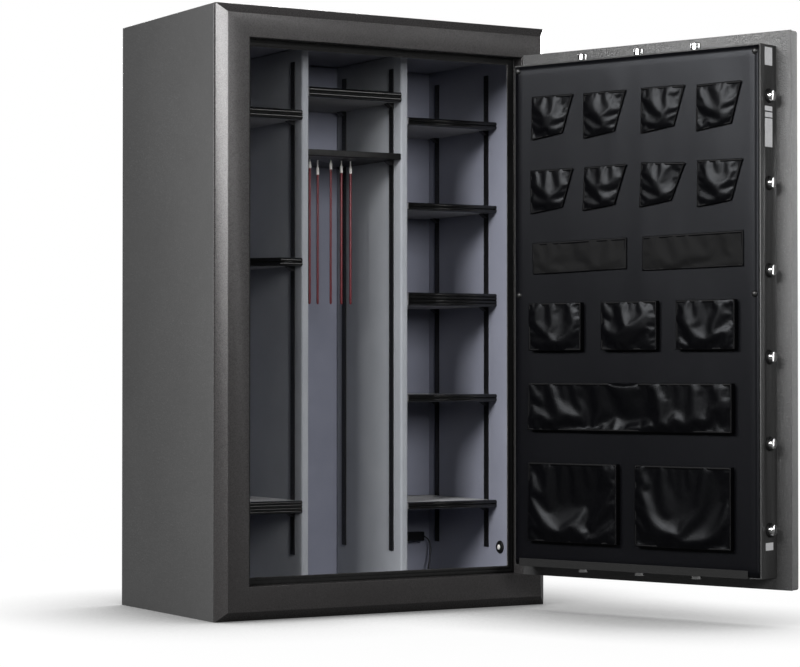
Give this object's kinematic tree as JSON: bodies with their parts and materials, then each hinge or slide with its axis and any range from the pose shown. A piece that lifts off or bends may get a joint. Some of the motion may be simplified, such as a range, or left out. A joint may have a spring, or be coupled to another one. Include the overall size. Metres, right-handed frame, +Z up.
{
  "type": "gun safe",
  "caption": "Tall steel gun safe with its door open: lined three-column interior with shelves and barrel rest, organiser door with sliding lock bolts, dial and spoke handle.",
  "frame": {"origin": "middle of the body base, on the floor", "axes": "+Z up, +X to the right of someone facing the door opening, -Y out of the door opening"},
  "size_m": [1.2802, 1.5104, 1.676],
  "materials": {
    "textured_paint": "dark grey textured paint with metal fleck",
    "liner_fabric": "blue-grey carpet fabric",
    "divider_fabric": "light grey carpet fabric",
    "shelf_fabric": "grey carpet fabric over board",
    "cover_fabric": "charcoal padded fabric",
    "black_steel": "satin black",
    "zinc_steel": "zinc plated",
    "polished_chrome": "polished",
    "fire_board": "gypsum fire board",
    "black_plastic": "satin black",
    "cord_jacket": "black jacket",
    "rubber": "black rubber"
  },
  "bodies": {
    "body": {"body_shell": "textured_paint", "front_frame": "textured_paint", "fire_lining": "fire_board", "liner_left": "liner_fabric", "liner_right": "liner_fabric", "liner_floor": "liner_fabric", "liner_ceiling": "liner_fabric", "liner_back": "liner_fabric", "divider_left": "divider_fabric", "divider_right": "divider_fabric", "standard_left_left_front": "black_steel", "standard_left_left_rear": "black_steel", "standard_left_right_front": "black_steel", "standard_left_right_rear": "black_steel", "standard_middle_left_front": "black_steel", "standard_middle_left_rear": "black_steel", "standard_middle_right_front": "black_steel", "standard_middle_right_rear": "black_steel", "standard_right_left_front": "black_steel", "standard_right_left_rear": "black_steel", "standard_right_right_front": "black_steel", "standard_right_right_rear": "black_steel", "shelf_left_top": "shelf_fabric", "shelf_left_middle": "shelf_fabric", "shelf_left_bottom": "shelf_fabric", "shelf_middle_top": "shelf_fabric", "barrel_rest": "shelf_fabric", "shelf_right_1": "shelf_fabric", "shelf_right_2": "shelf_fabric", "shelf_right_3": "shelf_fabric", "shelf_right_4": "shelf_fabric", "shelf_right_5": "shelf_fabric", "power_box": "black_plastic", "power_cord": "cord_jacket", "cord_gland": "rubber", "hinge_lower_frame_knuckle": "textured_paint", "hinge_upper_frame_knuckle": "textured_paint"},
    "door": {"door_skin": "textured_paint", "door_fireboard": "fire_board", "door_inner_plate": "textured_paint", "door_pan": "textured_paint", "door_cover": "cover_fabric", "lock_body": "zinc_steel", "dial_ring": "black_steel", "handle_collar": "polished_chrome", "hinge_lower_door_knuckle": "textured_paint", "hinge_upper_door_knuckle": "textured_paint", "hinge_side_pin_bar": "black_steel"},
    "handle": {"spoke_handle": "polished_chrome", "drive_pinion_and_spindle": "zinc_steel"},
    "dial": {"combination_dial": "black_steel"},
    "side_bolts": {"side_bolt_bar": "zinc_steel", "side_bolt_1": "polished_chrome", "side_bolt_2": "polished_chrome", "side_bolt_3": "polished_chrome", "side_bolt_4": "polished_chrome", "side_bolt_5": "polished_chrome", "side_bolt_6": "polished_chrome"},
    "top_bolts": {"top_bolt_set": "polished_chrome"},
    "bottom_bolts": {"bottom_bolt_set": "polished_chrome"}
  },
  "joints": [
    {"name": "door_swing", "type": "hinge", "parent": "body", "child": "door", "pos_m": [0.4554, -0.3374, 0.84], "axis": [0, 0, 1], "range_deg": [-110.6, 64.4]},
    {"name": "handle_turn", "type": "hinge", "parent": "door", "child": "handle", "pos_m": [0.6031, -0.78976, 0.86], "axis": [0.9361, 0.3518, 0], "range_deg": [0, 90]},
    {"name": "dial_turn", "type": "hinge", "parent": "door", "child": "dial", "pos_m": [0.6031, -0.78976, 1.07], "axis": [0.9361, 0.3518, 0], "continuous": true},
    {"name": "side_bolts_slide", "type": "slide", "parent": "door", "child": "side_bolts", "axis": [0.3518, -0.9361, 0], "range_m": [0, 0.022]},
    {"name": "top_bolts_slide", "type": "slide", "parent": "door", "child": "top_bolts", "axis": [0, 0, 1], "range_m": [0, 0.022]},
    {"name": "bottom_bolts_slide", "type": "slide", "parent": "door", "child": "bottom_bolts", "axis": [0, 0, -1], "range_m": [0, 0.022]}
  ],
  "couplings": [
    {"joint": "side_bolts_slide", "follows": "handle_turn", "m_per_rad": 0.014},
    {"joint": "top_bolts_slide", "follows": "handle_turn", "m_per_rad": 0.014},
    {"joint": "bottom_bolts_slide", "follows": "handle_turn", "m_per_rad": 0.014}
  ]
}
